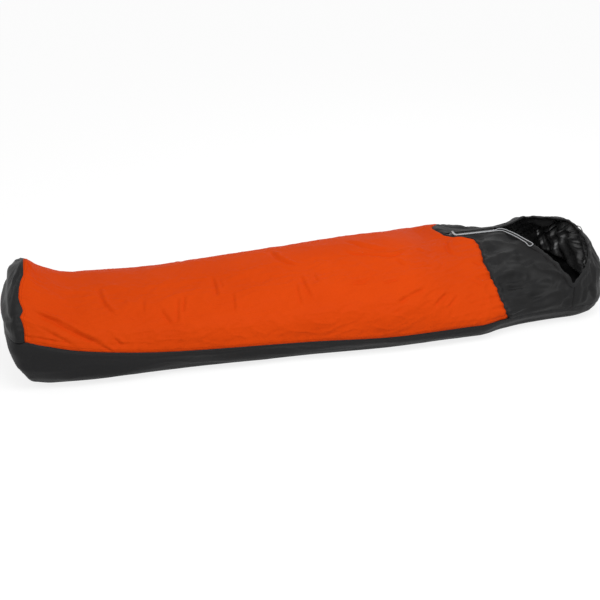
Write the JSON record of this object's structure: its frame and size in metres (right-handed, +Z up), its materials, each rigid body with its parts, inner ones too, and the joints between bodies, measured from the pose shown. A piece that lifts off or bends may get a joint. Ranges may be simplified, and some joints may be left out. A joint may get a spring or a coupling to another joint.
{
  "type": "bivy sack",
  "caption": "Long hooded bivy sack lying filled on the ground: tub floor, toe cap, coloured top, zipped throat and a drawcord rim round the face opening.",
  "frame": {"origin": "on the ground under the middle of the sack, on its flat floor", "axes": "+X along the sack to the head, +Y to the far side where the throat lies, +Z up"},
  "size_m": [2.1141, 0.6054, 0.342],
  "materials": {
    "shell_orange": "coated ripstop cloth, soft sheen",
    "tub_black": "coated heavy cloth, matte",
    "shell_black": "coated cloth, matte",
    "lining_black": "coated thin cloth, shiny",
    "rim_black": "sewn cloth channel, matte",
    "cord_black": "braided elastic cord",
    "cord_grey": "braided cord",
    "eyelet_metal": "dark satin",
    "lock_plastic": "moulded, matte",
    "button_plastic": "moulded, matte",
    "spring_steel": "drawn wire",
    "zip_tape": "woven tape",
    "zip_teeth": "moulded, matte",
    "zip_metal": "dark satin"
  },
  "bodies": {
    "sack": {"floor_tub": "tub_black", "foot_panel": "shell_black", "top_panel": "shell_orange", "hood_near_panel": "shell_black", "hood_far_panel": "shell_black", "hood_crown": "shell_black", "hood_lining": "lining_black", "rim_channel": "rim_black", "drawcord": "cord_black", "drawcord_tail": "cord_black", "drawcord_knot": "cord_black", "cord_eyelet": "eyelet_metal", "cord_lock_barrel": "lock_plastic", "cord_lock_spring": "spring_steel", "zip_tape_near": "zip_tape", "zip_tape_far": "zip_tape", "zip_teeth_near": "zip_teeth", "zip_teeth_far": "zip_teeth", "zip_bottom_stop": "zip_metal", "zip_top_stops": "zip_metal"},
    "zip_slider": {"zip_slider": "zip_metal", "pull_cord_knot": "cord_grey", "zip_pull_cord": "cord_grey"},
    "lock_button": {"cord_lock_button": "button_plastic"}
  },
  "joints": [
    {"name": "zip_slide", "type": "slide", "parent": "sack", "child": "zip_slider", "axis": [1, 0, 0], "range_m": [0, 0.15], "deforming": ["zip_tape_near", "zip_tape_far", "zip_teeth_near", "zip_teeth_far", "zip_pull_cord"]},
    {"name": "button_press", "type": "slide", "parent": "sack", "child": "lock_button", "axis": [0, -1, 0], "range_m": [0, 0.004], "stiffness_N_per_m": 400, "springref_m": -0.002, "deforming": ["cord_lock_spring"]}
  ]
}
